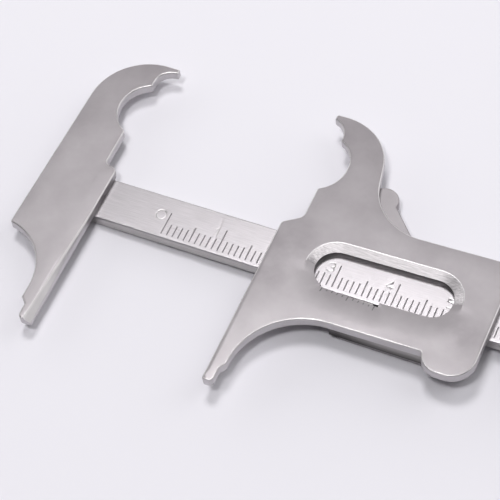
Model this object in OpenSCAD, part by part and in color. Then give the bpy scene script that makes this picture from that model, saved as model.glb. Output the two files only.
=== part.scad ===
// Dental slide caliper: graduated beam, fixed jaw, moving slide with vernier window and lock lever.
// X runs along the beam from the fixed jaw's measuring face, Y across it from the beam's centre line,
// Z towards the front from the middle of the fixed jaw's thickness.

/* [Beam and scale] */
// Width of the beam
beam_w = 8; // [6:0.5:10]
// Thickness of the beam
beam_t = 2; // [1.5:0.1:3]
// Length of the beam that lies under the fixed jaw
beam_root = 11; // [9:0.25:11.25]
// Length of beam past the stop screw's centre
beam_tail = 2.8; // [2:0.1:6]
// Corner radius of the beam's far end
beam_end_r = 1.2; // [0.2:0.1:2.5]
// Corner radius of the beam's end under the fixed jaw
beam_root_r = 0.3; // [0.1:0.1:1]
// Longest reading of the scale
scale_l = 80; // [60:5:120]
// Distance of the scale's zero line from the fixed jaw's lower edge
scale_zero = 11.8; // [10.5:0.1:13]
// Distance of the lines' feet from the beam's lower edge
line_margin = 0.75; // [0.4:0.05:1.2]
// Length of a millimetre line
line_short = 2.1; // [1.5:0.1:2.6]
// Length of a five millimetre line
line_half = 2.9; // [2:0.1:3.4]
// Length of a ten millimetre line
line_long = 4.2; // [3:0.1:5]
// Width of an engraved line
line_w = 0.16; // [0.1:0.02:0.24]
// Depth of an engraved line
line_d = 0.08; // [0.04:0.01:0.12]

/* [Jaw plates] */
// Thickness of the fixed jaw and of the slide's front plate
plate_t = 1.8; // [1.4:0.1:2.4]
// Reach of the beaks above the beam's centre line
beak_reach = 28.25; // [26:0.05:34]
// Length of the flat end of a beak
beak_end = 1; // [0.6:0.1:1.4]
// Height of the upper end of a beak's hollow
hollow_high = 23.25; // [22:0.05:24]
// Height of the lower end of a beak's hollow
hollow_low = 12.9; // [11:0.1:14]
// Reach of the lower jaws below the beam's centre line
jaw_reach = 26.8; // [25.5:0.1:34]
// Height of the foot of the stepped tips above their ends
tip_l = 2.6; // [1.5:0.1:3]

/* [Fixed jaw] */
// Width of the jaw's back at its lower corner
head_low_w = 11.9; // [11.5:0.1:14]
// Width of the jaw's back at the beak
head_high_w = 11.05; // [10.5:0.05:13]
// Depth of the jaw's lower corner below the centre line
head_low = 10.6; // [8:0.1:12]
// Height of the shoulder above the beam
head_shoulder = 5.3; // [4.8:0.1:6.5]
// Set-back of the land above the shoulder
head_land = 2.3; // [1.8:0.1:3]
// Lead of the beak's point ahead of the lower jaw's edge
fixed_lead = 1; // [0.6:0.05:1.4]
// Radius of the beak's back
fixed_back_r = 10; // [7:0.1:10.5]
// Depth of the beak's hollow
fixed_hollow_d = 5.5; // [4.5:0.1:6.5]
// Radius of the beak's hollow
fixed_hollow_r = 5.9; // [3:0.1:6.2]
// Radius of the small hollow behind the point
fixed_point_r = 3.2; // [2:0.1:3.5]
// Depth of the small hollow behind the point
fixed_point_d = 3.05; // [2.5:0.05:3.4]
// Width of the lower jaw above its step
fixed_jaw_w = 3.25; // [2.8:0.05:4]
// Width of the lower jaw's tip
fixed_tip_w = 2.2; // [1.6:0.05:2.5]
// Radius of the sweep from the corner to the lower jaw
fixed_sweep_r = 10.3; // [6:0.1:10.5]
// Width of the edge bevel at the lower jaw's tip
edge_bevel = 1.1; // [0.6:0.05:1.4]

/* [Slide front plate] */
// Length of the slide
slide_l = 38.2; // [36:0.1:46]
// Height of the slide's top edge at its end
slide_top = 9.6; // [9.4:0.05:10.4]
// Fall of the top edge towards the beak
slide_top_fall = 0.7; // [0:0.05:0.7]
// Depth of the slide's lower edge at the thumb lobe
slide_low = 10.5; // [9.6:0.1:12]
// Extra depth of the lower edge at the lower jaw
slide_low_fall = 0.45; // [0:0.05:0.8]
// Height of the front corner above the beam
slide_shoulder = 4.75; // [4.4:0.05:5.2]
// Set-back of the land below the hollow
slide_land = 3; // [2.2:0.1:3.4]
// Height of the foot of that land
slide_land_foot = 6.8; // [6:0.1:8]
// Set-back of the beak's point from the slide's front edge
slide_lag = 0.3; // [0:0.05:0.5]
// Depth of the beak's back at the height of its tip
beak_w = 10.05; // [9.5:0.05:11]
// Depth of the beak's back at the top edge
beak_foot_w = 13.85; // [13:0.05:14.5]
// Radius of the beak's back
slide_back_r = 9.6; // [8:0.1:9.7]
// Radius of the sweep from the beak's back to the top edge
slide_neck_r = 9.9; // [8:0.1:10.2]
// Depth of the beak's hollow
slide_hollow_d = 6.05; // [5:0.05:6.8]
// Radius of the beak's hollow
slide_hollow_r = 5.7; // [3:0.1:6.2]
// Radius of the small hollow behind the point
slide_point_r = 3.8; // [2:0.1:4]
// Depth of the small hollow behind the point
slide_point_d = 2.65; // [2.2:0.05:3]
// Width of the lower jaw above its step
slide_jaw_w = 2.5; // [2.2:0.05:3.5]
// Width of the lower jaw's tip
slide_tip_w = 1.75; // [1.3:0.05:2]
// Radius of the sweep from the lower edge to the lower jaw
slide_sweep_r = 12; // [6:0.1:12.5]
// Width of the thumb lobe
lobe_w = 8.5; // [7:0.1:10]
// Reach of the thumb lobe below the slide's lower edge
lobe_reach = 2.8; // [1.5:0.1:5]
// Radius of the thumb lobe's corners
lobe_r = 4.1; // [2:0.1:4.4]
// Radius of the slide's top corner
top_corner_r = 1.5; // [0.5:0.1:3]

/* [Window and vernier] */
// Distance of the window's first round end from the slide's front edge
window_x = 11.75; // [10.5:0.05:12.5]
// Distance between the centres of the window's round ends
window_run = 16; // [13:0.1:16.5]
// Offset of the window's centre line from the beam's
window_y = -0.66; // [-1:0.01:-0.4]
// Turn of the window against the beam, along with the slide's edges
window_turn = 1.3; // [0:0.1:2]
// Radius of the window's round ends
window_r = 3.5; // [3.1:0.05:3.7]
// Width of the bevel along the window's upper side
window_bevel = 1.5; // [1.3:0.05:1.7]
// Depth of the bevel round the window
window_bevel_d = 0.7; // [0.4:0.05:1]
// Width of the bevel along the window's lower side
window_low_bevel = 1.9; // [1.8:0.05:2.2]
// Drop of the lower edge at the middle of the vernier
vernier_drop = 0.55; // [0.5:0.05:0.6]
// Slant of the vernier's edge
vernier_slant = 3; // [0:0.5:4]
// Length of bevel before and after the vernier's lines
vernier_lead = 0.5; // [0.2:0.05:0.6]
// Length of the vernier's ten divisions
vernier_l = 9; // [9:10:19]
// Length of a long vernier line
vernier_long = 1.1; // [0.9:0.05:1.5]
// Length of a short vernier line
vernier_short = 0.6; // [0.4:0.05:0.8]

/* [Slide back] */
// Opening of the jaws at rest
rest_gap = 29.9; // [5:0.1:60]
// Distance of the guide rails' front ends from the slide's front edge
rail_x = 14.3; // [14:0.1:14.8]
// Set-back of the rails and the back plate from the slide's end
rail_inset = 0.8; // [0.3:0.1:1.5]
// Set-back of the upper rail from the slide's top edge at its end
rail_top_inset = 0.7; // [0.7:0.05:0.9]
// Thickness of the back plate
back_t = 1.2; // [0.8:0.1:2]
// Set-back of the back plate's edges from the rails' edges
back_inset = 0.4; // [0.2:0.05:0.8]
// Corner radius of the back plate
back_r = 1.5; // [0.5:0.1:3]
// Running clearance of the slide on the beam
run_gap = 0.03; // [0.02:0.01:0.06]
// Clearance of rivets and pins in their holes
pin_gap = 0.02; // [0.01:0.01:0.04]
// Radius of a rivet's shank
rivet_r = 0.8; // [0.6:0.05:1]
// Radius of a rivet's countersunk head
rivet_head_r = 1.4; // [1.2:0.05:1.6]
// Depth of a rivet's countersunk head
rivet_head_d = 0.6; // [0.3:0.05:0.7]
// Depth of the blind rivet holes in the front plates
rivet_blind = 1; // [0.6:0.05:1.1]
// Distance of the slide's end rivets from the rails' ends
rivet_inset = 2.2; // [2:0.1:3]
// Distance of the lower rivets below the middle of the lower rail
rivet_drop = 0.2; // [0:0.05:0.4]
// Distance of the fixed jaw's rivets from the ends of its seat
fixed_rivet_inset = 2.6; // [2:0.1:3]
// Distance of the fixed jaw's paired rivets from the centre line
fixed_rivet_spread = 1.8; // [1.6:0.05:2.2]
// Length of the spacer ahead of the lever
spacer_l = 3.7; // [3.2:0.1:4]
// Height of the spacer ahead of the lever
spacer_h = 2.2; // [2:0.05:2.4]

/* [Lock lever] */
// Distance of the lever's pivot from the slide's front edge
pivot_x = 22; // [21.6:0.1:22.4]
// Height of the lever's pivot above the beam's edge
pivot_h = 2.4; // [2.3:0.05:2.6]
// Radius of the pivot pin
pivot_r = 1; // [0.7:0.05:1.2]
// Radius of the lever's boss
boss_r = 2.05; // [1.8:0.05:2.15]
// Radius of the ear that the finger presses
ear_r = 2.5; // [2.2:0.05:2.6]
// Run of the ear ahead of the pivot
ear_run = 8.5; // [8.2:0.1:9]
// Rise of the ear above the pivot
ear_rise = 9.1; // [8.6:0.1:9.4]
// Width of the lever's arm
arm_w = 3.5; // [2.8:0.1:3.6]
// Shift of the arm towards the slide's front
arm_shift = 0.4; // [0.2:0.1:1]
// Radius of the nose that jams on the beam's edge
nose_r = 0.8; // [0.6:0.05:0.9]
// Run of the nose behind the pivot
nose_run = 4; // [3.6:0.1:4.4]
// Clearance of the nose from the beam at rest
nose_gap = 0.05; // [0.03:0.01:0.1]
// Length of the tail behind the pivot
tail_l = 7; // [6.6:0.1:7.2]
// Width of the tail
tail_w = 1.2; // [1:0.05:1.3]
// Clearance of the lever from the plates
lever_gap = 0.1; // [0.05:0.01:0.2]
// Thickness of the leaf springs
leaf_t = 0.25; // [0.15:0.05:0.3]
// Length of the leaf spring's root in its slot
leaf_root = 2; // [1.5:0.1:3]
// Radius of the leaf spring's curled tip
leaf_tip_r = 0.4; // [0.3:0.05:0.5]
// Distance of the leaf spring's tip from the pivot
leaf_reach = 5.4; // [5:0.1:5.8]
// Distance of the upper rail's block from the end of the tail
block_gap = 1.6; // [1.2:0.1:2]
// Clearance between the lever's boss and the cap over its tail
cap_gap = 1.4; // [1:0.1:2]
// Thickness of the cap over the tail
cap_t = 1.1; // [0.9:0.05:1.3]

/* [Gib spring] */
// Distance of the spring's recess from the rail's front end
gib_x = 5; // [4:0.1:6]
// Length of the recess
gib_l = 12.5; // [10:0.1:13]
// Depth of the recess
gib_d = 0.9; // [0.7:0.05:1.2]
// Clearance of the spring in its recess
gib_gap = 0.02; // [0.01:0.01:0.04]

/* [Stop screw] */
// Radius of the screw's head
stop_head_r = 1.6; // [1.3:0.1:2]
// Height of the screw's head
stop_head_h = 1.1; // [0.8:0.1:1.6]
// Width of the slot in the screw's head
stop_slot = 0.5; // [0.3:0.05:0.7]
// Radius of the screw's shank
stop_r = 0.9; // [0.7:0.05:1.1]
// Clearance between the slide at its widest and the screw's head
stop_gap = 0.3; // [0.1:0.05:1]

/* [Hidden] */
$fn = 64;
// Angle between two points of a rounded corner
arc_step = 5;
// Overlap of a cutting shape past the face that it cuts
past = 1;
// Shortest straight that is left between two rounded corners
hair = 0.02;

// Levels
beam_edge = beam_w / 2;
rail_edge = beam_edge + run_gap;
beam_front = -plate_t / 2;
beam_back = beam_front - beam_t;
front_z = beam_front + run_gap;
front_top = front_z + plate_t;
back_top = beam_back - run_gap;
back_z = back_top - back_t;

// Reading of zero: the beaks' points meet while the lower jaws stay apart
jaw_relief = fixed_lead - slide_lag;
vernier_zero = scale_zero - jaw_relief;
stop_x = jaw_relief + scale_l + slide_l + stop_gap + stop_head_r;
beam_end = stop_x + beam_tail;

// Slide back
rail_end = slide_l - rail_inset;
rail_top = slide_top - rail_top_inset;
tip_foot = -jaw_reach + tip_l;
pivot_y = beam_edge + pivot_h;
ear = [pivot_x - ear_run, pivot_y + ear_rise];
nose = [pivot_x + nose_run, beam_edge + nose_gap + nose_r];
// Tail's centre line and end
tail_y = pivot_y - boss_r / 2 + tail_w / 4;
tail_end = pivot_x + tail_l;
// Upper rail's block starts clear of the tail's end, and its cap covers the tail
block_x = tail_end + block_gap;
cap_x = pivot_x + boss_r + cap_gap;
// Level and thickness of the lever and the springs between the plates
lever_z = back_top + lever_gap;
lever_t = front_z - back_top - 2 * lever_gap;
// Leaf spring bears on the tail's top
leaf_end = pivot_x + leaf_reach;
leaf_y = tail_y + tail_w / 2 + pin_gap + leaf_tip_r;

// Rivets of the slide, in its own coordinates
low_rivet_y = -(rail_edge + slide_low) / 2 - rivet_drop;
slide_rivet_places = [
    [rail_x + rivet_inset, low_rivet_y],
    [(rail_x + rail_end) / 2, low_rivet_y],
    [rail_end - rivet_inset, low_rivet_y],
    [rail_x + spacer_l / 2, rail_edge + spacer_h / 2],
    [(block_x + leaf_root + rail_end) / 2, (rail_edge + rail_top) / 2]
];
// Rivets of the fixed jaw
fixed_rivet_places = [
    [-fixed_rivet_inset, 0],
    [-beam_root + fixed_rivet_inset, fixed_rivet_spread],
    [-beam_root + fixed_rivet_inset, -fixed_rivet_spread]
];

// Outline helpers

// Length of the straight that a corner's rounding takes up on each side
function reach(p, i) =
    let (n = len(p),
         b = [p[i][0], p[i][1]],
         a = [p[(i + n - 1) % n][0], p[(i + n - 1) % n][1]] - b,
         c = [p[(i + 1) % n][0], p[(i + 1) % n][1]] - b,
         half = acos(a * c / norm(a) / norm(c)) / 2)
    p[i][2] / tan(half);

// Share of a corner's radius that its two straights leave room for
function room(p, i) =
    let (n = len(p),
         before = (i + n - 1) % n,
         after = (i + 1) % n,
         here = reach(p, i),
         side_a = norm([p[i][0] - p[before][0], p[i][1] - p[before][1]]),
         side_b = norm([p[i][0] - p[after][0], p[i][1] - p[after][1]]))
    min(1, side_a / (here + reach(p, before) + hair), side_b / (here + reach(p, after) + hair));

// Points of one rounded corner [x, y, radius] of a closed outline
function corner(p, i) =
    let (n = len(p),
         b = [p[i][0], p[i][1]],
         a = [p[(i + n - 1) % n][0], p[(i + n - 1) % n][1]] - b,
         c = [p[(i + 1) % n][0], p[(i + 1) % n][1]] - b,
         share = room(p, i),
         r = p[i][2] * share,
         t = reach(p, i) * share,
         start = b + a / norm(a) * t,
         end = b + c / norm(c) * t,
         middle = a / norm(a) + c / norm(c),
         centre = b + middle / norm(middle) * norm([t, r]),
         from = atan2(start[1] - centre[1], start[0] - centre[0]),
         to = atan2(end[1] - centre[1], end[0] - centre[0]),
         turn = (to - from + 540) % 360 - 180,
         steps = max(1, ceil(abs(turn) / arc_step)))
    [for (k = [0 : steps]) centre + r * [cos(from + turn * k / steps), sin(from + turn * k / steps)]];

// Closed outline with every corner rounded
function rounded(p) = [for (i = [0 : len(p) - 1]) each corner(p, i)];

// Radius of a crisp corner, of one eased by hand, and of one rounded to the touch
crisp_r = 0.15;
eased_r = 0.4;
soft_r = 0.9;
// Radius of the fixed jaw's shoulder, and of the foot of the slide's land
shoulder_r = 1.3;
land_foot_r = 1.6;
// Height of a hollow's corner points inside its two ends
hollow_foot = 1.95;
hollow_head = 1.55;
// Fall of the fixed jaw's corner towards the lower jaw, and rise of its notch
head_fall = 1.8;
head_notch = 0.3;
// Slope of the step at a lower tip
step_rise = 1;
// Offset of the lobe's left side from the lower edge to its foot
lobe_lean = 0.6;

// Outline of the fixed jaw, from the lower tip up the measuring edge and round the beak
fixed_point_x = fixed_lead - fixed_point_d;
fixed_outline = rounded([
    [0, -jaw_reach, eased_r],
    [0, head_shoulder, shoulder_r],
    [-head_land, head_shoulder + head_notch, soft_r],
    [-head_land, hollow_low, soft_r],
    [-fixed_hollow_d, hollow_low + hollow_foot, fixed_hollow_r],
    [-fixed_hollow_d, hollow_high - hollow_head, fixed_hollow_r],
    [fixed_point_x, hollow_high, crisp_r],
    [fixed_point_x, beak_reach - beak_end, fixed_point_r],
    [fixed_lead, beak_reach - beak_end, crisp_r],
    [fixed_lead, beak_reach, crisp_r],
    [-head_high_w, beak_reach, fixed_back_r],
    [-head_low_w, -head_low, eased_r],
    [-fixed_jaw_w, -head_low - head_fall, fixed_sweep_r],
    [-fixed_jaw_w, tip_foot + step_rise, crisp_r],
    [-fixed_tip_w, tip_foot, eased_r],
    [-fixed_tip_w, -jaw_reach, 2 * eased_r]
]);

// Outline of the slide's front plate, from the lower tip round the lobe and the beak
slide_point_x = slide_lag + slide_point_d;
slide_outline = rounded([
    [0, -jaw_reach, eased_r],
    [slide_tip_w, -jaw_reach, 2 * eased_r],
    [slide_tip_w, tip_foot, crisp_r],
    [slide_jaw_w, tip_foot + step_rise, crisp_r],
    [slide_jaw_w, -slide_low - slide_low_fall, slide_sweep_r],
    [slide_l - lobe_w, -slide_low, eased_r],
    [slide_l - lobe_w + lobe_lean, -slide_low - lobe_reach, lobe_r],
    [slide_l, -slide_low - lobe_reach, lobe_r],
    [slide_l, slide_top, top_corner_r],
    [beak_foot_w, slide_top - slide_top_fall, slide_neck_r],
    [beak_w, beak_reach, slide_back_r],
    [slide_lag, beak_reach, eased_r],
    [slide_lag, beak_reach - beak_end, crisp_r],
    [slide_point_x, beak_reach - 2 * beak_end, slide_point_r],
    [slide_point_x, hollow_high, crisp_r],
    [slide_hollow_d, hollow_high - hollow_head, slide_hollow_r],
    [slide_hollow_d, hollow_low + hollow_foot, slide_hollow_r],
    [slide_land, hollow_low, eased_r],
    [slide_land, slide_land_foot, land_foot_r],
    [0, slide_shoulder, soft_r]
]);

// Slide pieces are drawn at the slide's own zero and moved to the opening at rest
module on_slide() {
    translate([rest_gap, 0, 0]) children();
}

// Plate from an outline, lying on level z
module plate(points, z, t) {
    translate([0, 0, z]) linear_extrude(t) polygon(points);
}

// Bar along X with square ends
module bar(x0, x1, y0, y1, z0, z1) {
    translate([x0, y0, z0]) cube([x1 - x0, y1 - y0, z1 - z0]);
}

// Rivet with its countersunk head at level z, reaching up to level z_end
module rivet(z, z_end, gap) {
    translate([0, 0, z]) {
        cylinder(r = rivet_r + gap, h = z_end - z + gap);
        cylinder(r1 = rivet_head_r + gap, r2 = rivet_r + gap, h = rivet_head_d + gap);
    }
}

module slide_rivet_set(gap) {
    for (place = slide_rivet_places)
        translate([place[0], place[1], 0]) rivet(back_z, front_z + rivet_blind, gap);
}

module fixed_rivet_set(gap) {
    for (place = fixed_rivet_places)
        translate([place[0], place[1], 0]) rivet(beam_back, beam_front + rivet_blind, gap);
}

module pivot_pin_shape(gap) {
    translate([pivot_x, pivot_y, back_z]) {
        cylinder(r = pivot_r + gap, h = front_z + rivet_blind - back_z + gap);
        cylinder(r1 = rivet_head_r + gap, r2 = pivot_r + gap, h = rivet_head_d + gap);
    }
}

// Engraved lines of the millimetre scale
module scale_lines() {
    for (mm = [0 : scale_l]) {
        l = mm % 10 == 0 ? line_long : mm % 5 == 0 ? line_half : line_short;
        x = scale_zero + mm;
        foot = -beam_edge + line_margin;
        bar(x - line_w / 2, x + line_w / 2, foot, foot + l,
            beam_front - line_d, beam_front + past);
    }
}

module beam() {
    color([0.83, 0.82, 0.84]) difference() {
        plate(rounded([
            [-beam_root, -beam_edge, beam_root_r],
            [beam_end, -beam_edge, beam_end_r],
            [beam_end, beam_edge, beam_end_r],
            [-beam_root, beam_edge, beam_root_r]
        ]), beam_back, beam_t);
        scale_lines();
        fixed_rivet_set(pin_gap);
        translate([stop_x, 0, beam_back - past]) cylinder(r = stop_r + pin_gap, h = beam_t + 2 * past);
    }
}

module fixed_jaw() {
    color([0.7, 0.69, 0.7]) difference() {
        plate(fixed_outline, beam_front, plate_t);
        // Bevel of the measuring edge, from nothing at the beam to its full width at the tip
        translate([0, -beam_edge, beam_front + plate_t])
            rotate([0, 45, -atan(edge_bevel / (jaw_reach - beam_edge))])
            translate([-plate_t, -jaw_reach, 0]) cube([2 * plate_t, jaw_reach, 2 * plate_t]);
        fixed_rivet_set(pin_gap);
    }
}

module fixed_jaw_rivets() {
    color([0.66, 0.65, 0.66]) fixed_rivet_set(0);
}

module stop_screw() {
    color([0.75, 0.74, 0.75]) translate([stop_x, 0, beam_back]) difference() {
        union() {
            cylinder(r = stop_r, h = beam_t + stop_head_h / 2);
            translate([0, 0, beam_t]) cylinder(r = stop_head_r, h = stop_head_h);
        }
        translate([-stop_head_r - past, -stop_slot / 2, beam_t + stop_head_h / 2])
            cube([2 * stop_head_r + 2 * past, stop_slot, stop_head_h]);
    }
}

// Level of the lip between the window's wall and its bevel
lip_z = front_top - window_bevel_d;

// Profile of one side of the window, from the back to past the front: straight wall, then bevel
function side_profile(bevel) =
    let (flare = bevel * (window_bevel_d + past) / window_bevel_d)
    [[window_r, front_z - past], [window_r, lip_z], [window_r + flare, front_top + past]];

// Window along X about its own middle, with round ends whose sides follow a profile
module window_cut(bevel) {
    profile = side_profile(bevel);
    for (x = [-window_run / 2, window_run / 2])
        translate([x, 0, 0]) rotate_extrude()
            polygon(concat([[0, front_z - past]], profile, [[0, front_top + past]]));
    translate([-window_run / 2, 0, 0]) rotate([90, 0, 90]) linear_extrude(window_run)
        polygon(concat(profile, [for (i = [2 : -1 : 0]) [-profile[i][0], profile[i][1]]]));
}

// Half of the window, between two heights about its middle
module window_half(bevel, y0, y1) {
    intersection() {
        window_cut(bevel);
        bar(-slide_l / 2, slide_l / 2, y0, y1, front_z - past / 2, front_top + past / 2);
    }
}

// Window: steeper bevel above, shallow bevel for the vernier below
module window() {
    translate([window_x + window_run / 2, window_y, 0]) rotate(window_turn) {
        window_half(window_bevel, 0, slide_top);
        window_half(window_low_bevel, -slide_low, 0);
    }
}

// Lower side set back along the vernier, with its lines on the bevel
module vernier() {
    profile = side_profile(window_low_bevel);
    slope = atan(window_bevel_d / window_low_bevel);
    translate([vernier_zero + vernier_l / 2, window_y - vernier_drop, 0]) rotate(-vernier_slant) {
        translate([-vernier_l / 2 - vernier_lead, 0, 0]) rotate([90, 0, 90])
            linear_extrude(vernier_l + 2 * vernier_lead) polygon(concat(
                [[0, front_top + past], [0, front_z - past]],
                [for (point = profile) [-point[0], point[1]]]
            ));
        for (tenth = [-5 : 5]) {
            l = tenth % 5 == 0 ? vernier_long : vernier_short;
            translate([tenth * vernier_l / 10, -window_r, lip_z]) rotate([-slope, 0, 0])
                translate([-line_w / 2, -l, -line_d]) cube([line_w, l + past / 2, 2 * line_d]);
        }
    }
}

module slide_front_plate() {
    color([0.72, 0.71, 0.72]) on_slide() difference() {
        plate(slide_outline, front_z, plate_t);
        window();
        vernier();
        slide_rivet_set(pin_gap);
        pivot_pin_shape(pin_gap);
    }
}

module slide_back_plate() {
    low = -slide_low + back_inset;
    high = rail_top - back_inset;
    color([0.68, 0.67, 0.68]) on_slide() difference() {
        plate(rounded([
            [rail_x + back_inset, low, back_r], [rail_end - back_inset, low, back_r],
            [rail_end - back_inset, high, back_r], [rail_x + back_inset, high, back_r]
        ]), back_z, back_t);
        slide_rivet_set(pin_gap);
        pivot_pin_shape(pin_gap);
    }
}

// Recess floor of the gib spring
gib_floor = -rail_edge - gib_d;

module lower_guide_rail() {
    color([0.64, 0.63, 0.64]) on_slide() difference() {
        bar(rail_x, rail_end, -slide_low, -rail_edge, back_top, front_z);
        bar(rail_x + gib_x, rail_x + gib_x + gib_l, gib_floor, past - rail_edge,
            back_top - past, front_z + past);
        slide_rivet_set(pin_gap);
    }
}

module upper_guide_rail() {
    color([0.64, 0.63, 0.64]) on_slide() difference() {
        union() {
            bar(block_x, rail_end, rail_edge, rail_top, back_top, front_z);
            bar(cap_x, block_x + past, rail_top - cap_t, rail_top, back_top, front_z);
        }
        // Slot for the leaf spring's root
        bar(block_x - past, block_x + leaf_root + gib_gap, leaf_y - leaf_t / 2 - gib_gap,
            leaf_y + leaf_t / 2 + gib_gap, back_top - past, front_z + past);
        slide_rivet_set(pin_gap);
    }
}

module upper_spacer_block() {
    color([0.64, 0.63, 0.64]) on_slide() difference() {
        bar(rail_x, rail_x + spacer_l, rail_edge, rail_edge + spacer_h, back_top, front_z);
        slide_rivet_set(pin_gap);
    }
}

module slide_rivets() {
    color([0.66, 0.65, 0.66]) on_slide() slide_rivet_set(0);
}

module lever_pivot_pin() {
    color([0.66, 0.65, 0.66]) on_slide() pivot_pin_shape(0);
}

// Lever between the plates: ear, arm, boss, and tail with the nose that jams on the beam
module lock_lever() {
    arm = ear - [pivot_x, pivot_y];
    color([0.7, 0.69, 0.7]) on_slide()
        translate([0, 0, lever_z]) linear_extrude(lever_t) difference() {
            union() {
                translate(ear) circle(ear_r);
                translate([pivot_x, pivot_y]) {
                    circle(boss_r);
                    rotate(atan2(arm[1], arm[0])) translate([0, arm_shift - arm_w / 2])
                        square([norm(arm), arm_w]);
                }
                translate([pivot_x, tail_y - tail_w / 2]) square([tail_l - tail_w / 2, tail_w]);
                translate([tail_end - tail_w / 2, tail_y]) circle(tail_w / 2);
                translate(nose) circle(nose_r);
            }
            translate([pivot_x, pivot_y]) circle(pivot_r + run_gap);
        }
}

// Leaf spring from its slot in the upper rail to the top of the lever's tail
module lever_spring() {
    color([0.55, 0.56, 0.6]) on_slide()
        translate([0, 0, lever_z]) linear_extrude(lever_t) union() {
            translate([leaf_end, leaf_y - leaf_t / 2]) square([block_x + leaf_root - leaf_end, leaf_t]);
            translate([leaf_end, leaf_y]) circle(leaf_tip_r);
        }
}

// Bowed leaf in the lower rail's recess, its crown on the beam's edge
module gib_spring() {
    chord = gib_l - 2 * gib_gap;
    rise = gib_d + run_gap - leaf_t - 2 * gib_gap;
    bow_r = chord * chord / 8 / rise + rise / 2;
    crown = -beam_edge - gib_gap;
    color([0.55, 0.56, 0.6]) on_slide()
        translate([rail_x + gib_x + gib_l / 2, 0, lever_z]) linear_extrude(lever_t) intersection() {
            translate([0, crown - bow_r]) difference() {
                circle(bow_r, $fn = 360);
                circle(bow_r - leaf_t, $fn = 360);
            }
            translate([-chord / 2, crown - rise - leaf_t]) square([chord, rise + leaf_t + past]);
        }
}

beam();
fixed_jaw();
fixed_jaw_rivets();
stop_screw();
slide_front_plate();
slide_back_plate();
lower_guide_rail();
upper_guide_rail();
upper_spacer_block();
slide_rivets();
lever_pivot_pin();
lock_lever();
lever_spring();
gib_spring();
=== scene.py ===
"""Looks of a dental slide caliper: satin plates with rolled edges, a brushed graduated beam, studio light."""

import math

import bmesh
import bpy
from mathutils import Euler, Matrix, Vector
from mathutils.kdtree import KDTree


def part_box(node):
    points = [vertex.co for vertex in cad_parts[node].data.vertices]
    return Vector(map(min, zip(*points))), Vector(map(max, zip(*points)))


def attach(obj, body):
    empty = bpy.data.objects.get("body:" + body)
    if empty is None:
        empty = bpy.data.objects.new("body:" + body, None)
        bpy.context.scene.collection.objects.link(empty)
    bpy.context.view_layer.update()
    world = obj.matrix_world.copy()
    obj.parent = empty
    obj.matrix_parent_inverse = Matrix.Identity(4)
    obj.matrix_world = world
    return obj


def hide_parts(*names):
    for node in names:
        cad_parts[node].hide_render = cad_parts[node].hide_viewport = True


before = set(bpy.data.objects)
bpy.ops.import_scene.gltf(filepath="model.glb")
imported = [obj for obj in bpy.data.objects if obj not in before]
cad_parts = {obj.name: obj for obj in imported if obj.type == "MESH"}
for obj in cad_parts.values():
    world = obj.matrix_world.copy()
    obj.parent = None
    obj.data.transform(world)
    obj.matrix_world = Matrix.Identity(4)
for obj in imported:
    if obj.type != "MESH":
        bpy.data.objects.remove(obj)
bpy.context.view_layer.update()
MM = 0.001

# Camera, as the photograph was taken
CAMERA_TARGET = Vector((26.81, -1.24, -0.9)) * MM
CAMERA_DISTANCE = 303.6 * MM
CAMERA_AZIMUTH = 30.17
CAMERA_ELEVATION = 54.94
CAMERA_ROLL = -8.15
CAMERA_LENS = 135.8
SENSOR_WIDTH = 36
CLIP_START = 0.01

# Rolled and rounded edges
ROLL_WIDTH = 3.2 * MM
ROLL_LOW_Y, ROLL_TOP_Y = -22 * MM, 8 * MM
ROLL_LOW_DROP, ROLL_TOP_DROP = 0.015 * MM, 0.2 * MM
GRID_STEP = 0.55 * MM
OUTLINE_STEP = 0.1 * MM
RIM_R = 0.2 * MM
BACK_RIM_R = 0.12 * MM
BEAM_RIM_R = 0.25 * MM
TICK_RIM_R = 0.05 * MM
RAIL_CORNER_R = 1.8 * MM
CORNER_MERGE = 0.17 * MM
FLAT_ANGLE = math.radians(0.5)
RIM_ANGLE = math.radians(40)
SHARP = math.radians(30)
HAIR = 0.002 * MM

# Scale and its numerals
SCALE_ZERO = 11.8 * MM
SCALE_LENGTH = 80
DIGIT_SPACING = 10 * MM
DIGIT_HEIGHT = 1.7 * MM
DIGIT_WIDTH = 1.35 * MM
DIGIT_SHIFT = -1.4 * MM
DIGIT_LEVEL = 0.25 * MM
STROKE_R = 0.22 * MM
STROKE_RISE = 0.163 * MM
ARC_STEP = 15

# Parts of the beam's front face that belong to its outline, and the depth that its lines stay above
BEAM_CORNER = 1.3 * MM
BEAM_MARGIN = 0.3 * MM
LINE_REACH = 0.1 * MM

# Places along the beam where flat faces are split, through the middle of each hole
FRAME_HOLES = [-8.4 * MM, -2.6 * MM]
SLIDE_HOLES = [46.2 * MM, 51.9 * MM, 55.75 * MM, 65.0 * MM]
BEAM_HOLES = FRAME_HOLES + [SCALE_ZERO + line * MM for line in range(SCALE_LENGTH + 1)] + [120.8 * MM]

# Part of the slide's plate that the reading window and its bevels take up
WINDOW_LOW = Vector((35.7, -7.7, 0)) * MM
WINDOW_HIGH = Vector((63.7, 4.8, 0)) * MM
WINDOW_MIDDLE = Vector((49.65, -0.66, 0)) * MM
WINDOW_UP = Euler((0, 0, math.radians(1.3))).to_matrix() @ Vector((0, 1, 0))
VERNIER_NORMAL = Euler((0, 0, math.radians(-3))).to_matrix() @ Vector((0, 0.7, 1.9)).normalized()
BEVEL_DEPTH = 0.7 * MM
BEVEL_WIDTH = 1.5 * MM
BEVEL_GRID_STEP = 0.3 * MM
FACET_R = 0.07 * MM
FACET_START = 0.1 * MM
LINE_DEPTH = 0.08 * MM
BLEND_WIDTH = 4.8 * MM
BLEND_FADE = 2.0 * MM
LIP_MARGIN = 0.1 * MM
WINDOW_SHARP = math.radians(12)
slide_low, slide_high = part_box("slide_front_plate")
rail_low, rail_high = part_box("lower_guide_rail")
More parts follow.
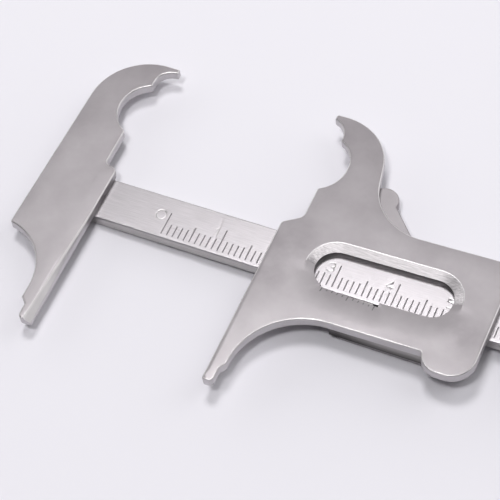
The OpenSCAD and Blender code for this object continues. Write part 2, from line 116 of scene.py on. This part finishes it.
lip_z = slide_high.z - BEVEL_DEPTH

# Limits of a face's normal along Z, by the kind of face
RIM_RISE = (0.03, 0.995)
FACET_RISE = (0.93, 0.997)
LOW_BEVEL_RISE = (0.85, 0.99)
TICK_RIM_RISE = (0.3, 0.9)
FLAT_RISE = 0.999
CHAMFER_RISE = 0.9
UPRIGHT_RISE = 0.1
SIDE_TURN = 0.9
SAME_WAY = 0.9998

# Order of the materials on the plates and on the beam
PLATE, RIM, EDGE, BEVEL, LINE, WALL = range(6)
BEAM_FACE, BEAM_LINE, BEAM_DIGIT, BEAM_SIDE = range(4)

# Darker patches, painted shade and painted highlights, by place, radius and shade
# Tone of darker patches on the slide's plate, and of painted shade on the slide's right wall
DARKER_PATCH_AND_SHADE = (0.78, 0.775, 0.78, 1)
# Painted shade on the beaks' ends, darker as the light falls on them
PAINTED_BEAK_SHADE = (0.9, 0.895, 0.9, 1)
# Painted shade at the ends of the window's upper bevel
PAINTED_END_SHADE = (0.5, 0.49, 0.5, 1)
# Painted shadow of the gap where the fixed jaw meets the beam
PAINTED_GAP_SHADOW = (0.28, 0.27, 0.275, 1)
# Painted shade on the lower rail's left end, under the plate
PAINTED_RAIL_SHADE = (0.25, 0.245, 0.25, 1)
# Painted highlight: the colour is made lighter
PAINTED_HIGHLIGHT = (1.6, 1.6, 1.6, 1)
PLATE_PATCHES_AND_SHADE = [
    # Darker patches on the slide's plate
    (Vector((32.5, 1.4, 0.9)) * MM, 6 * MM, DARKER_PATCH_AND_SHADE),
    (Vector((31.5, -5, 0.9)) * MM, 4.5 * MM, DARKER_PATCH_AND_SHADE),
    (Vector((64.8, -5.4, 0.9)) * MM, 5 * MM, DARKER_PATCH_AND_SHADE),
    # Painted shade on the ends of the slide's beak and of the fixed jaw's beak
    (Vector((34, 28, 0.9)) * MM, 10 * MM, PAINTED_BEAK_SHADE),
    (Vector((-3, 28, 0.9)) * MM, 9 * MM, PAINTED_BEAK_SHADE),
]
# Painted shade: the lower rail darker round its left end, in the plate's shadow
RAIL_END_PAINTED_SHADE = [(Vector((rail_low.x, rail_low.y, rail_high.z)), 8 * MM, PAINTED_RAIL_SHADE)]
# Painted highlights at the upper ends of the window's bevel, with painted shade just below them
BEVEL_END_HIGHLIGHT_AND_SHADE = [
    (Vector((37.6, 1.1, 0.6)) * MM, 3.4 * MM, PAINTED_HIGHLIGHT),
    (Vector((61.8, 0.9, 0.6)) * MM, 3.4 * MM, PAINTED_HIGHLIGHT),
    (Vector((37.3, -1, 0.5)) * MM, 1.5 * MM, PAINTED_END_SHADE),
    (Vector((62, -1.2, 0.5)) * MM, 1.9 * MM, PAINTED_END_SHADE),
]
# Painted shade on the plates' walls
PAINTED_EDGE_SHADE = [
    # Painted shadow of the gap between the fixed jaw's wall and the beam
    (Vector((0, 0, -0.9)) * MM, 7.5 * MM, PAINTED_GAP_SHADOW),
    # Painted shade on the walls round the slide's right end
    (Vector((68, 0, 0)) * MM, 14 * MM, DARKER_PATCH_AND_SHADE),
]

# Cells per metre of the finishes' patterns
STAIN_CELLS = 110
PATCH_CELLS = 150
GRAIN_CELLS = 7000
BRUSH_CELLS = 260
LINE_GRIME_CELLS = 1500
STREAK_CELLS = 300
MOTTLE_CELLS = 600

# Finish of the plates and of brushed and milled steel
GRAIN_DEPTH = 0.004 * MM
WORN_REACH = 25 * MM
PATCH_ROUGH = 0.02
BRUSH_ROUGH = 0.06
WALL_ROUGH = 0.5
LINE_ROUGH = 0.6

# Floor and light
FLOOR_SIZE = 3
FLOOR_COLOUR = (0.8, 0.783, 0.832, 1)
FLOOR_ROUGH = 0.9
FLOOR_SPECULAR = 0.1
HORIZON = (0.4, 0.395, 0.403)
ZENITH = (0.06, 0.06, 0.061)
HAZE_LOW, HAZE_HIGH = 0.2, 0.5
LAMP_DISTANCE = 0.9

# Sockets of the colour mixing node
MIX_FACTOR, MIX_A, MIX_B, MIX_RESULT = 0, 6, 7, 2


# Shapes

def bmesh_of(node, holes=()):
    """Merged copy of a CAD node's triangles, its flat faces joined up and split across their holes."""
    bm = bmesh.new()
    bm.from_mesh(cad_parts[node].data)
    bmesh.ops.remove_doubles(bm, verts=bm.verts, dist=HAIR)
    for x in holes:
        cut = bmesh.ops.bisect_plane(
            bm, geom=bm.verts[:] + bm.edges[:] + bm.faces[:], dist=HAIR,
            plane_co=(x, 0, 0), plane_no=(1, 0, 0),
        )
        for item in cut["geom_cut"]:
            if isinstance(item, bmesh.types.BMEdge):
                item.seam = True
    bmesh.ops.dissolve_limit(
        bm, angle_limit=FLAT_ANGLE, verts=bm.verts, edges=bm.edges, delimit={"SEAM"},
    )
    bm.normal_update()
    return bm


def add_piece(bm, name, body, materials, node, sharp_at=None):
    """Object from a bmesh, smooth but for its sharp edges, which rides on a body in a CAD node's place."""
    bmesh.ops.recalc_face_normals(bm, faces=bm.faces)
    for edge in bm.edges:
        limit = sharp_at(edge) if sharp_at else SHARP
        edge.smooth = edge.calc_face_angle(math.pi) < limit
    for face in bm.faces:
        face.smooth = True
    mesh = bpy.data.meshes.new(name)
    bm.to_mesh(mesh)
    bm.free()
    for material in materials:
        mesh.materials.append(material)
    piece = bpy.data.objects.new(name, mesh)
    bpy.context.scene.collection.objects.link(piece)
    weighted = piece.modifiers.new("even_shading", "WEIGHTED_NORMAL")
    weighted.keep_sharp = True
    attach(piece, body)
    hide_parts(node)


def bevel(bm, edges, radius, segments):
    """Rounds edges and brings the normals up to date."""
    bmesh.ops.bevel(
        bm, geom=edges, offset=radius, offset_type="OFFSET", affect="EDGES",
        segments=segments, profile=0.5, material=-1, clamp_overlap=False,
    )
    bm.normal_update()


def between(value, limits):
    return limits[0] < value < limits[1]


def at_level(edge, z):
    return all(abs(v.co.z - z) < HAIR for v in edge.verts)


def middle_of(edge):
    return (edge.verts[0].co + edge.verts[1].co) / 2


def anywhere(place):
    return True


def rim_edges(bm, z, outside):
    """Sharp edges at one level whose ends pass a test on their place."""
    return [
        e for e in bm.edges
        if at_level(e, z) and e.calc_face_angle(0) > RIM_ANGLE and all(outside(v.co) for v in e.verts)
    ]


def simplify_corners(bm, z, outside):
    """Tight corners of an outline become single points, so that their rounding doesn't fold."""
    verts = dict.fromkeys(v for e in rim_edges(bm, z, outside) for v in e.verts)
    bmesh.ops.remove_doubles(bm, verts=list(verts), dist=CORNER_MERGE)


def outline_tree(edges):
    """Search tree of points along an outline."""
    points = []
    for edge in edges:
        a, b = (v.co for v in edge.verts)
        steps = max(1, math.ceil((b - a).length / OUTLINE_STEP))
        points += [a.lerp(b, k / steps) for k in range(steps)]
    tree = KDTree(len(points))
    for i, point in enumerate(points):
        tree.insert((point.x, point.y, 0), i)
    tree.balance()
    return tree


def slice_faces(bm, chosen, step):
    """Cuts the faces that pass a test into a grid, so that they can bend."""
    def picked():
        return [f for f in bm.faces if chosen(f)]
    bmesh.ops.triangulate(bm, faces=picked())
    for axis in (Vector((1, 0, 0)), Vector((0, 1, 0))):
        reach = [v.co.dot(axis) for f in picked() for v in f.verts]
        for k in range(1, math.ceil((max(reach) - min(reach)) / step)):
            faces = picked()
            geom = faces + list(dict.fromkeys(part for f in faces for part in (*f.edges, *f.verts)))
            bmesh.ops.bisect_plane(
                bm, geom=geom, dist=HAIR, plane_co=axis * (min(reach) + k * step), plane_no=axis,
            )
            bm.normal_update()


def roll_edges(bm, z, tree):
    """Lets the front face fall away towards its outline, as on a stamped and tumbled plate."""
    for v in bm.verts:
        if v.co.z < z - RIM_R - HAIR:
            continue
        distance = tree.find((v.co.x, v.co.y, 0))[2]
        share = max(0, 1 - distance / ROLL_WIDTH)
        height = min(1, max(0, (v.co.y - ROLL_LOW_Y) / (ROLL_TOP_Y - ROLL_LOW_Y)))
        v.co.z -= (ROLL_LOW_DROP + (ROLL_TOP_DROP - ROLL_LOW_DROP) * height) * share ** 2


def plate_bmesh(node, holes, outside, soften=None):
    """Stamped plate: rounded rims, and a front face that rolls off to its outline."""
    low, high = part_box(node)
    bm = bmesh_of(node, holes)
    for z in (low.z, high.z):
        simplify_corners(bm, z, outside)
    bm.normal_update()
    tree = outline_tree(rim_edges(bm, high.z, outside))
    bevel(bm, rim_edges(bm, high.z, outside), RIM_R, segments=4)
    for face in bm.faces:
        centre = face.calc_center_median()
        on_rim = between(centre.z, (high.z - RIM_R, high.z - HAIR)) and outside(centre)
        if on_rim and between(face.normal.z, RIM_RISE):
            face.material_index = RIM
    bevel(bm, rim_edges(bm, low.z, outside), BACK_RIM_R, segments=2)
    for face in bm.faces:
        plain = face.material_index == PLATE and outside(face.calc_center_median())
        if plain and abs(face.normal.z) < CHAMFER_RISE:
            face.material_index = EDGE
    if soften:
        soften(bm)

    def in_front(face):
        return face.normal.z > FLAT_RISE and all(abs(v.co.z - high.z) < HAIR for v in face.verts)

    slice_faces(bm, in_front, GRID_STEP)
    roll_edges(bm, high.z, tree)
    return bm


# Materials

def shader(name):
    """New metal material, with its node tree and its shader."""
    material = bpy.data.materials.new(name)
    material.use_nodes = True
    tree = material.node_tree
    principled = tree.nodes["Principled BSDF"]
    principled.inputs["Metallic"].default_value = 1.0
    return material, tree, principled


def add_node(tree, kind, links=(), **values):
    """Node with its settings; links name the input and the output that feeds it."""
    node = tree.nodes.new(kind)
    for key, value in values.items():
        if key in node.inputs:
            node.inputs[key].default_value = value
        else:
            setattr(node, key, value)
    for socket, source in links:
        tree.links.new(source, node.inputs[socket])
    return node


def object_place(tree):
    """The object's own coordinates."""
    return add_node(tree, "ShaderNodeTexCoord").outputs["Object"]


def along_axis(tree, place, axis):
    """One coordinate of a place, by the name of its axis."""
    return add_node(tree, "ShaderNodeSeparateXYZ", [("Vector", place)]).outputs[axis]


def combine(tree, operation, first, second):
    """Two values joined by an operation."""
    return add_node(tree, "ShaderNodeMath", [(0, first), (1, second)], operation=operation).outputs["Value"]


def noise(tree, scale, stretch=(1, 1, 1), detail=2.0, rough=0.5):
    """Noise on the object's own coordinates, its cells scaled by stretch."""
    mapping = add_node(tree, "ShaderNodeMapping", [("Vector", object_place(tree))])
    mapping.inputs["Scale"].default_value = stretch
    return add_node(
        tree, "ShaderNodeTexNoise", [("Vector", mapping.outputs["Vector"])],
        Scale=scale, Detail=detail, Roughness=rough,
    ).outputs["Fac"]


def ramp(tree, source, low, high, a=0.3, b=0.7):
    """Maps a factor from the stretch a to b onto the values low to high."""
    return add_node(
        tree, "ShaderNodeMapRange", [("Value", source)],
        **{"From Min": a, "From Max": b, "To Min": low, "To Max": high},
    ).outputs["Result"]


def tint(tree, factor, dark, light):
    """Colour between two by a factor."""
    mix = add_node(tree, "ShaderNodeMix", data_type="RGBA")
    tree.links.new(factor, mix.inputs[MIX_FACTOR])
    mix.inputs[MIX_A].default_value = (*dark, 1)
    mix.inputs[MIX_B].default_value = (*light, 1)
    return mix.outputs[MIX_RESULT]


def bump(tree, principled, height, depth):
    """Fine relief of the surface."""
    node = add_node(tree, "ShaderNodeBump", [("Height", height)], Distance=depth, Strength=1.0)
    tree.links.new(node.outputs["Normal"], principled.inputs["Normal"])


def tone_patch(tree, colour, centre, radius, shade):
    """Darkens or lightens a colour in a soft, uneven patch round a place on the piece; used for darker patches,
    painted shade and painted highlights.
    """
    away = add_node(tree, "ShaderNodeVectorMath", [(0, object_place(tree))], operation="DISTANCE")
    away.inputs[1].default_value = centre
    patch = ramp(tree, away.outputs["Value"], 1, 0, 0.2 * radius, radius)
    mottle = ramp(tree, noise(tree, MOTTLE_CELLS, detail=3), 0.6, 1)
    share = combine(tree, "MULTIPLY", patch, mottle)
    mix = add_node(tree, "ShaderNodeMix", data_type="RGBA", blend_type="MULTIPLY")
    tree.links.new(share, mix.inputs[MIX_FACTOR])
    tree.links.new(colour, mix.inputs[MIX_A])
    mix.inputs[MIX_B].default_value = shade
    return mix.outputs[MIX_RESULT]


def paint(tree, principled, colour, tone_patches):
    """Gives a colour, with its darker patches, painted shade and painted highlights, to the shader."""
    for centre, radius, shade in tone_patches:
        colour = tone_patch(tree, colour, centre, radius, shade)
    tree.links.new(colour, principled.inputs["Base Color"])


def satin_steel(name, dark, light, rough, worn=0, tone_patches=()):
    """Fine blasted steel with faint stains, smoother by worn from the beaks' ends to the handled lower jaws."""
    material, tree, principled = shader(name)
    stains = noise(tree, STAIN_CELLS, detail=5, rough=0.6)
    paint(tree, principled, tint(tree, ramp(tree, stains, 0, 1), dark, light), tone_patches)
    height = along_axis(tree, object_place(tree), "Y")
    level = ramp(tree, height, rough - worn / 2, rough + worn / 2, -WORN_REACH, WORN_REACH)
    patches = ramp(tree, noise(tree, PATCH_CELLS, detail=3), -PATCH_ROUGH, PATCH_ROUGH)
    tree.links.new(combine(tree, "ADD", level, patches), principled.inputs["Roughness"])
    bump(tree, principled, noise(tree, GRAIN_CELLS, detail=2), GRAIN_DEPTH)
    return material


def brushed_steel(name, dark, light, rough, along=(1, 30, 30), depth=0.003 * MM, tone_patches=()):
    """Steel brushed along one direction."""
    material, tree, principled = shader(name)
    lines = noise(tree, BRUSH_CELLS, along, detail=4, rough=0.65)
    paint(tree, principled, tint(tree, ramp(tree, lines, 0, 1), dark, light), tone_patches)
    gloss = ramp(tree, lines, rough - BRUSH_ROUGH, rough + BRUSH_ROUGH)
    tree.links.new(gloss, principled.inputs["Roughness"])
    bump(tree, principled, lines, depth)
    return material


def engraved_steel(name, dark, light):
    """Dark floor of an engraved line."""
    material, tree, principled = shader(name)
    paint(tree, principled, tint(tree, noise(tree, LINE_GRIME_CELLS, detail=2), dark, light), ())
    principled.inputs["Roughness"].default_value = LINE_ROUGH
    return material


def wall_steel_with_painted_shade(name, lit_z, shaded_z, dark, light, tone_patches=()):
    """Milled side wall, lighter at one height and darker at another as painted shade, with streaks."""
    material, tree, principled = shader(name)
    lit_share = ramp(tree, along_axis(tree, object_place(tree), "Z"), 0, 1, shaded_z, lit_z)
    streaks = ramp(tree, noise(tree, STREAK_CELLS, (1, 1, 20), detail=3), 0.7, 1)
    share = combine(tree, "MULTIPLY", lit_share, streaks)
    paint(tree, principled, tint(tree, share, dark, light), tone_patches)
    principled.inputs["Roughness"].default_value = WALL_ROUGH
    return material


# Plate steel, with darker patches on the slide and painted shade on the beaks' ends
plate_steel = satin_steel("plate_steel", (0.36, 0.336, 0.35), (0.43, 0.404, 0.42), 0.6, 0.2, PLATE_PATCHES_AND_SHADE)
# Walls, chamfers and the window's upper facet: a lighter copy of the plate's steel, as painted light, with
# painted shade on the fixed jaw's wall over the beam and on the slide's right wall
lit_edge_steel = satin_steel("lit_edge_steel", (0.5, 0.48, 0.49), (0.58, 0.56, 0.57), 0.42, 0, PAINTED_EDGE_SHADE)
# Polished rims, less rough, and lighter than the plate's steel as a painted highlight
polished_rim_and_sheen_steel = satin_steel("polished_rim_and_sheen_steel", (0.52, 0.5, 0.508), (0.6, 0.58, 0.588), 0.34)
beam_steel = brushed_steel("beam_steel", (0.375, 0.353, 0.37), (0.48, 0.456, 0.475), 0.36)
beam_side_steel = brushed_steel("beam_side_steel", (0.42, 0.405, 0.4), (0.58, 0.565, 0.56), 0.45)
# Brushed bevel steel, with painted highlights and painted shade at the ends of the window's upper bevel
bevel_steel = brushed_steel(
    "bevel_steel", (0.31, 0.293, 0.303), (0.61, 0.583, 0.596), 0.5, (2, 20, 20), 0.006 * MM, BEVEL_END_HIGHLIGHT_AND_SHADE,
)
# Inner wall of the window: painted shade, dark near the lip and lighter towards the beam
window_wall_shade_steel = wall_steel_with_painted_shade("window_wall_shade_steel", slide_low.z, lip_z, (0.07, 0.066, 0.068), (0.34, 0.325, 0.33))
# Painted shade: the rails darker towards their bottom near the floor, and round the lower rail's left end, with
# streaks
rail_steel = wall_steel_with_painted_shade(
    "rail_steel", slide_low.z, rail_low.z, (0.07, 0.066, 0.066), (0.5, 0.48, 0.475), RAIL_END_PAINTED_SHADE,
)
rivet_steel = satin_steel("rivet_steel", (0.5, 0.49, 0.5), (0.58, 0.57, 0.58), 0.3)
spring_steel = brushed_steel("spring_steel", (0.28, 0.285, 0.31), (0.36, 0.365, 0.39), 0.35)
line_steel = engraved_steel("line_steel", (0.18, 0.17, 0.178), (0.3, 0.29, 0.298))
# Numerals' grooves in steel lighter than the beam's, as a painted highlight
digit_highlight_steel = satin_steel("digit_highlight_steel", (0.47, 0.452, 0.462), (0.57, 0.552, 0.562), 0.42)
ear_steel = satin_steel("ear_steel", (0.3, 0.28, 0.292), (0.35, 0.328, 0.341), 0.5)

# Fixed jaw
add_piece(
    plate_bmesh("fixed_jaw", FRAME_HOLES, anywhere), "fixed_jaw_plate", "frame",
    [plate_steel, polished_rim_and_sheen_steel, lit_edge_steel], "fixed_jaw",
)


# Slide front plate with its window

def outside_window(place):
    return not all(WINDOW_LOW[i] < place[i] < WINDOW_HIGH[i] for i in (0, 1))


def below_middle(place):
    """Distance of a place below the window's middle line."""
    return (WINDOW_MIDDLE - place).dot(WINDOW_UP)


def soften_window(bm):
    """Breaks the outer edge of the window's upper bevel."""
    edges = [
        e for e in bm.edges
        if at_level(e, slide_high.z) and e.calc_face_angle(0) > WINDOW_SHARP
        and not outside_window(middle_of(e)) and below_middle(middle_of(e)) < -FACET_START
    ]
    bevel(bm, edges, FACET_R, segments=2)
    for face in bm.faces:
        centre = face.calc_center_median()
        in_upper_half = not outside_window(centre) and below_middle(centre) < 0
        if in_upper_half and between(face.normal.z, FACET_RISE):
            face.material_index = EDGE


def on_low_bevel(face):
    centre = face.calc_center_median()
    in_lower_half = not outside_window(centre) and below_middle(centre) > 0
    return in_lower_half and between(face.normal.z, LOW_BEVEL_RISE)


def blend_low_bevel(bm):
    """Rounds the window's lower bevel over into the plate."""
    lip = [
        e for e in bm.edges
        if at_level(e, lip_z) and below_middle(middle_of(e)) > -HAIR
        and any(abs(f.normal.z) < UPRIGHT_RISE for f in e.link_faces)
        and any(f.normal.z > LOW_BEVEL_RISE[0] for f in e.link_faces)
    ]
    tree = outline_tree(lip)
    line_floor = {v for f in bm.faces if f.material_index == LINE for v in f.verts}
    for v in bm.verts:
        distance = tree.find((v.co.x, v.co.y, 0))[2]
        drop = below_middle(v.co)
        if v.co.z < lip_z - LIP_MARGIN or distance > BLEND_WIDTH or drop < -HAIR:
            continue
        straight = slide_high.z - BEVEL_DEPTH * max(0, 1 - distance / BEVEL_WIDTH)
        rounded = slide_high.z - BEVEL_DEPTH * (1 - distance / BLEND_WIDTH) ** 2
        if v in line_floor:
            rounded -= LINE_DEPTH
        share = min(1, max(0, drop) / BLEND_FADE)
        v.co.z = straight + (rounded - straight) * share * share * (3 - 2 * share)
    seam = [e for e in bm.edges if all(abs(below_middle(v.co)) < 2 * HAIR for v in e.verts)]
    bmesh.ops.dissolve_degenerate(bm, dist=HAIR, edges=seam)


def window_sharp(edge):
    """Limit of a sharp edge, lower round the window's bevel."""
    return SHARP if outside_window(middle_of(edge)) else WINDOW_SHARP


slide_bm = plate_bmesh("slide_front_plate", SLIDE_HOLES, outside_window, soften=soften_window)
vernier_face = max(
    (
        f for f in slide_bm.faces
        if not outside_window(f.calc_center_median()) and f.normal.dot(VERNIER_NORMAL) > SAME_WAY
    ),
    key=lambda f: f.calc_area(),
)
vernier_place, vernier_up = vernier_face.calc_center_median(), vernier_face.normal.copy()
for face in slide_bm.faces:
    centre = face.calc_center_median()
    if outside_window(centre) or face.normal.z > LOW_BEVEL_RISE[1] or face.material_index == EDGE:
        continue
    depth = (vernier_place - centre).dot(vernier_up)
    if abs(face.normal.z) < UPRIGHT_RISE:
        face.material_index = WALL
    elif below_middle(centre) < 0:
        face.material_index = BEVEL
    elif face.normal.dot(vernier_up) > SAME_WAY and depth > LINE_DEPTH / 2:
        face.material_index = LINE
slice_faces(slide_bm, on_low_bevel, BEVEL_GRID_STEP)
blend_low_bevel(slide_bm)
add_piece(
    slide_bm, "slide_plate", "slide",
    [plate_steel, polished_rim_and_sheen_steel, lit_edge_steel, bevel_steel, line_steel, window_wall_shade_steel],
    "slide_front_plate", window_sharp,
)

# Beam with its lines
beam_low, beam_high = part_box("beam")
beam_bm = bmesh_of("beam", BEAM_HOLES)


def on_beam_edge(place):
    inside_x = beam_low.x + HAIR < place.x < beam_high.x - BEAM_CORNER
    return not (inside_x and beam_low.y + HAIR < place.y < beam_high.y - HAIR)


def within_margins(place):
    return abs(place.y) < beam_high.y - BEAM_MARGIN


def on_line(place):
    along = SCALE_ZERO - MM < place.x < SCALE_ZERO + (SCALE_LENGTH + 1) * MM
    return along and within_margins(place)


bevel(beam_bm, rim_edges(beam_bm, beam_high.z, on_beam_edge), BEAM_RIM_R, segments=4)
bevel(beam_bm, rim_edges(beam_bm, beam_low.z, on_beam_edge), BACK_RIM_R, segments=2)
for face in beam_bm.faces:
    centre = face.calc_center_median()
    if abs(face.normal.y) > SIDE_TURN and abs(centre.y) > beam_high.y - HAIR:
        face.material_index = BEAM_SIDE
    elif between(centre.z, (beam_high.z - LINE_REACH, beam_high.z - HAIR)) and within_margins(centre):
        face.material_index = BEAM_LINE
bevel(beam_bm, rim_edges(beam_bm, beam_high.z, on_line), TICK_RIM_R, segments=1)
for face in beam_bm.faces:
    if between(face.normal.z, TICK_RIM_RISE) and on_line(face.calc_center_median()):
        face.material_index = BEAM_FACE


# Numerals, one at each ten millimetres

def arc(x, y, width, height, start, end):
    """Points along part of an ellipse, in shares of a digit's box."""
    steps = math.ceil(abs(end - start) / ARC_STEP)
    angles = [math.radians(start + (end - start) * k / steps) for k in range(steps + 1)]
    return [(x + width * math.cos(a), y + height * math.sin(a)) for a in angles]


# Strokes of the numerals from 0 to 8
DIGITS = [
    [arc(-0.1, 0, 0.64, 0.54, 90, 450)],
    [[(-0.3, 0.22), (0.08, 0.5)], [(0.08, 0.5), (0.08, -0.5)]],
    [arc(0, 0.2, 0.45, 0.3, 170, -35), [(0.37, 0.03), (-0.45, -0.5)], [(-0.47, -0.47), (0.48, -0.49)]],
    [arc(-0.05, 0.25, 0.42, 0.25, 150, -90), arc(-0.05, -0.25, 0.5, 0.25, 90, -150)],
    [[(0.22, 0.5), (-0.5, -0.2)], [(-0.5, -0.2), (0.5, -0.2)], [(0.22, 0.5), (0.22, -0.5)]],
    [[(0.4, 0.5), (-0.35, 0.5)], [(-0.35, 0.5), (-0.36, 0.1)], arc(-0.02, -0.17, 0.47, 0.33, 125, -120)],
    [arc(0, -0.2, 0.45, 0.3, 0, 360), arc(0.15, -0.2, 0.6, 0.7, 180, 75)],
    [[(-0.45, 0.5), (0.45, 0.5)], [(0.45, 0.5), (-0.12, -0.5)]],
    [arc(0, 0.25, 0.38, 0.25, 0, 360), arc(0, -0.25, 0.47, 0.25, 0, 360)],
]


def final_mesh(obj):
    """Mesh of an object with its modifiers or its bevel applied."""
    return bpy.data.meshes.new_from_object(obj.evaluated_get(bpy.context.evaluated_depsgraph_get()))


def stroke_tubes(strokes):
    """Mesh of round tubes along strokes, which lie just above the beam's face."""
    curve = bpy.data.curves.new("strokes", "CURVE")
    curve.dimensions = "3D"
    curve.bevel_depth = STROKE_R
    curve.bevel_resolution = 2
    curve.use_fill_caps = True
    for points in strokes:
        closed = (Vector(points[0]) - Vector(points[-1])).length < HAIR
        points = points[:-1] if closed else points
        spline = curve.splines.new("POLY")
        spline.points.add(len(points) - 1)
        spline.use_cyclic_u = closed
        for point, place in zip(spline.points, points):
            point.co = (*place, beam_high.z + STROKE_RISE, 1)
    tube = bpy.data.objects.new("strokes", curve)
    bpy.context.scene.collection.objects.link(tube)
    mesh = final_mesh(tube)
    bpy.data.objects.remove(tube)
    return mesh


def cut_out(bm, cutter_mesh, materials, index):
    """Cuts a mesh out of a bmesh; the cut faces get the material of the given index."""
    cutter_mesh.polygons.foreach_set("material_index", [index] * len(cutter_mesh.polygons))
    mesh = bpy.data.meshes.new("uncut")
    bm.to_mesh(mesh)
    bm.free()
    blank = bpy.data.objects.new("uncut", mesh)
    cutter = bpy.data.objects.new("cutter", cutter_mesh)
    for obj in (blank, cutter):
        for _ in materials:
            obj.data.materials.append(None)
        bpy.context.scene.collection.objects.link(obj)
    boolean = blank.modifiers.new("cut", "BOOLEAN")
    boolean.object = cutter
    boolean.operation = "DIFFERENCE"
    boolean.solver = "EXACT"
    cut = bmesh.new()
    cut.from_mesh(final_mesh(blank))
    bpy.data.objects.remove(blank)
    bpy.data.objects.remove(cutter)
    return cut


# The numerals' first strokes are cut together, then their second and third ones, so that no two cutters overlap
beam_materials = [beam_steel, line_steel, digit_highlight_steel, beam_side_steel]
for order in range(max(len(digit) for digit in DIGITS)):
    strokes = []
    for number, digit in enumerate(DIGITS):
        middle_x = SCALE_ZERO + number * DIGIT_SPACING + DIGIT_SHIFT
        strokes += [
            [(middle_x + x * DIGIT_WIDTH, DIGIT_LEVEL + y * DIGIT_HEIGHT) for x, y in stroke]
            for stroke in digit[order:order + 1]
        ]
    beam_bm = cut_out(beam_bm, stroke_tubes(strokes), beam_materials, BEAM_DIGIT)
add_piece(beam_bm, "graduated_beam", "frame", beam_materials, "beam")

# Small pieces with broken edges
for node, name, body, slot, material, radius in (
    ("lock_lever", "lock_lever_ear", "lever", "satin_steel", ear_steel, 0.2 * MM),
    ("slide_back_plate", "slide_back_cover", "slide", "satin_steel", plate_steel, 0.15 * MM),
    ("lower_guide_rail", "lower_rail", "slide", "rail_steel", rail_steel, 0.08 * MM),
    ("upper_guide_rail", "upper_rail", "slide", "rail_steel", rail_steel, 0.08 * MM),
    ("upper_spacer_block", "upper_spacer", "slide", "rail_steel", rail_steel, 0.08 * MM),
):
    low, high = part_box(node)
    bm = bmesh_of(node, SLIDE_HOLES)
    if node == "lower_guide_rail":
        corner = Vector((high.x, low.y))
        upright = [e for e in bm.edges if all((v.co.xy - corner).length < HAIR for v in e.verts)]
        bevel(bm, upright, RAIL_CORNER_R, segments=5)
    for z in (low.z, high.z):
        bevel(bm, rim_edges(bm, z, anywhere), radius, segments=2)
    add_piece(bm, name, body, [material], node)

# Pieces whose CAD shape shows as it is
for node, material in (
    ("fixed_jaw_rivets", rivet_steel), ("slide_rivets", rivet_steel), ("lever_pivot_pin", rivet_steel),
    ("stop_screw", rivet_steel), ("lever_spring", spring_steel), ("gib_spring", spring_steel),
):
    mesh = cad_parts[node].data
    mesh.materials.clear()
    mesh.materials.append(material)

# Floor, tipped as the caliper lies on its back plate's edge and its beam's end
back_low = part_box("slide_back_plate")[0]
tip = math.atan2(beam_low.z - back_low.z, back_low.x - beam_low.x)
floor_bm = bmesh.new()
bmesh.ops.create_grid(floor_bm, x_segments=1, y_segments=1, size=FLOOR_SIZE)
bmesh.ops.rotate(floor_bm, verts=floor_bm.verts, cent=(0, 0, 0), matrix=Matrix.Rotation(tip, 3, "Y"))
bmesh.ops.translate(floor_bm, verts=floor_bm.verts, vec=(back_low.x, 0, back_low.z))
floor_mesh = bpy.data.meshes.new("floor")
floor_bm.to_mesh(floor_mesh)
floor_bm.free()
floor = bpy.data.objects.new("floor", floor_mesh)
bpy.context.scene.collection.objects.link(floor)
floor_paint = bpy.data.materials.new("floor_paint")
floor_paint.use_nodes = True
floor_shader = floor_paint.node_tree.nodes["Principled BSDF"]
floor_shader.inputs["Base Color"].default_value = FLOOR_COLOUR
floor_shader.inputs["Roughness"].default_value = FLOOR_ROUGH
floor_shader.inputs["Specular IOR Level"].default_value = FLOOR_SPECULAR
floor_mesh.materials.append(floor_paint)

# Surroundings, pale towards the horizon and dark overhead
world = bpy.data.worlds.new("studio")
bpy.context.scene.world = world
world.use_nodes = True
sky = world.node_tree
facing = add_node(sky, "ShaderNodeTexCoord").outputs["Generated"]
haze = ramp(sky, along_axis(sky, facing, "Z"), 0, 1, HAZE_LOW, HAZE_HIGH)
sky.links.new(tint(sky, haze, HORIZON, ZENITH), sky.nodes["Background"].inputs["Color"])
sky.nodes["Background"].inputs["Strength"].default_value = 1.0


# Lamps

def softbox(name, direction, width, radiance, height=None):
    """Area light that faces the object from one direction; round, or a rectangle where a height is given."""
    lamp = bpy.data.lights.new(name, "AREA")
    lamp.shape = "RECTANGLE" if height else "DISK"
    lamp.size = width
    lamp.size_y = height or width
    area = width * height if height else math.pi * (width / 2) ** 2
    lamp.energy = radiance * math.pi * area
    obj = bpy.data.objects.new(name, lamp)
    towards = Vector(direction).normalized()
    obj.location = CAMERA_TARGET + towards * LAMP_DISTANCE
    obj.rotation_euler = towards.to_track_quat("Z", "Y").to_euler()
    bpy.context.scene.collection.objects.link(obj)


softbox("back_lamp", (-0.17, 0.31, 1), 0.25, 20.5)
softbox("front_lamp", (-0.03, -0.37, 1), 0.165, 38)
softbox("right_screen", (0.57, 0.5, 0.65), 0.65, 1.5)
softbox("top_screen", (0.3, -0.06, 0.95), 0.4, 1.5)
softbox("left_screen", (-0.88, 0.2, 0.38), 1.0, 1.3, 0.35)
softbox("side_screen", (0.87, 0.48, 0.14), 1.2, 1.3, 0.35)
softbox("back_screen", (-0.1, 0.95, 0.3), 1.8, 1.15, 0.4)

# Camera
camera = bpy.data.cameras.new("camera")
camera.lens = CAMERA_LENS
camera.sensor_width = SENSOR_WIDTH
camera.clip_start = CLIP_START
camera_obj = bpy.data.objects.new("camera", camera)
bpy.context.scene.collection.objects.link(camera_obj)
azimuth, elevation = math.radians(CAMERA_AZIMUTH), math.radians(CAMERA_ELEVATION)
back = Vector((
    math.sin(azimuth) * math.cos(elevation), -math.cos(azimuth) * math.cos(elevation), math.sin(elevation),
))
aim = (-back).to_track_quat("-Z", "Y").to_matrix().to_4x4()
roll = Matrix.Rotation(math.radians(CAMERA_ROLL), 4, "Z")
camera_obj.matrix_world = Matrix.Translation(CAMERA_TARGET + back * CAMERA_DISTANCE) @ aim @ roll
bpy.context.scene.camera = camera_obj

bpy.context.scene.view_settings.view_transform = "Standard"
